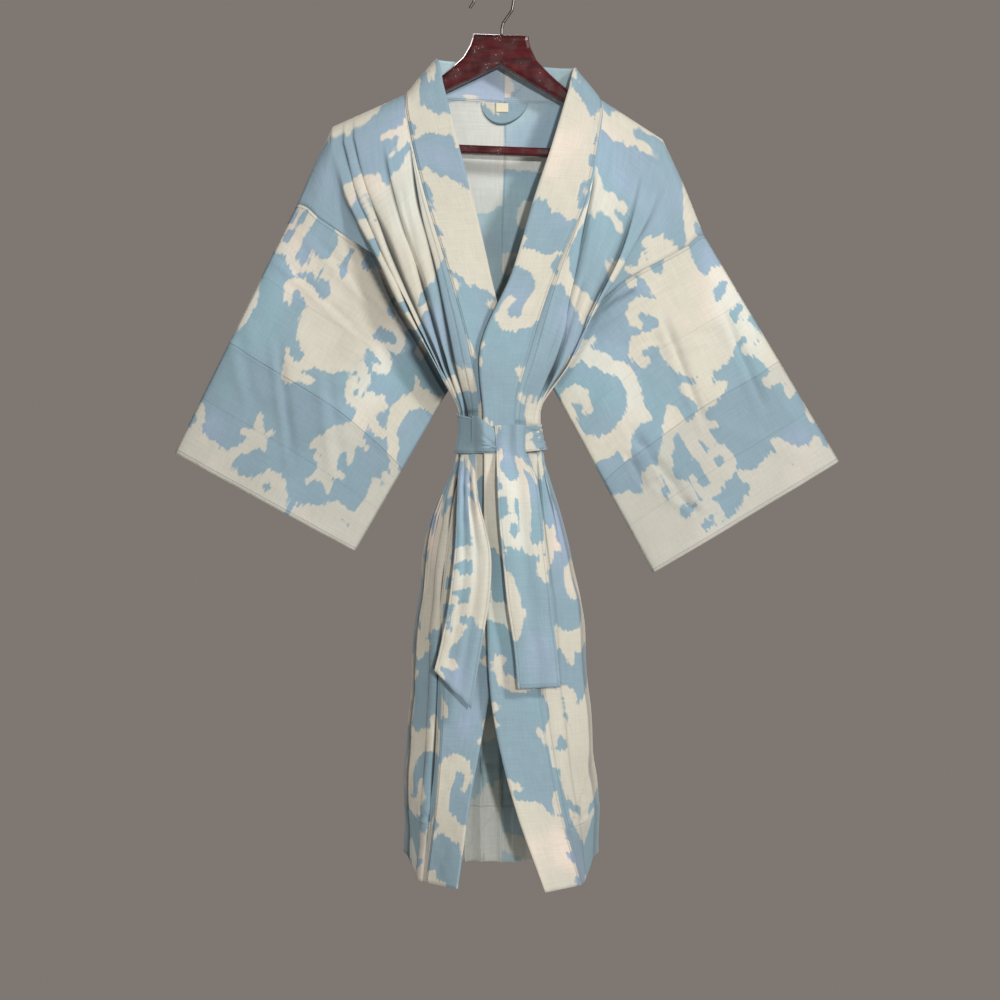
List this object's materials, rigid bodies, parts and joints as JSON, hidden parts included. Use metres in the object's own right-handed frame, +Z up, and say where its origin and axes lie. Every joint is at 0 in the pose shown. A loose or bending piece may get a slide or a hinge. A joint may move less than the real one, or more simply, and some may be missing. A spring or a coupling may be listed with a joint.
{
  "type": "kimono robe on a clothes hanger",
  "caption": "Long cotton robe with wide sleeves, collar band and tied belt, hanging on a flat wooden hanger with a wire hook.",
  "frame": {"origin": "top of the inner side of the hook, where a rail carries the hanger", "axes": "+Z up, -Y towards the robe's front, +X to the viewer's right when looking at the front"},
  "size_m": [0.8319, 0.174, 1.1437],
  "materials": {
    "printed_cotton": "plain-woven cotton with a blurred ikat print",
    "label_tape": "woven tape",
    "lacquered_wood": "dark red gloss lacquer",
    "steel_wire": "polished"
  },
  "bodies": {
    "root": {"front_left": "printed_cotton", "front_right": "printed_cotton", "back": "printed_cotton", "sleeve_left": "printed_cotton", "sleeve_right": "printed_cotton", "collar_band": "printed_cotton", "neck_patch": "printed_cotton", "size_label": "label_tape", "belt_loop": "printed_cotton", "belt_knot": "printed_cotton", "belt_tail_left": "printed_cotton", "belt_tail_right": "printed_cotton", "hanger_body": "lacquered_wood", "trouser_bar": "lacquered_wood", "hook": "steel_wire"}
  },
  "joints": []
}
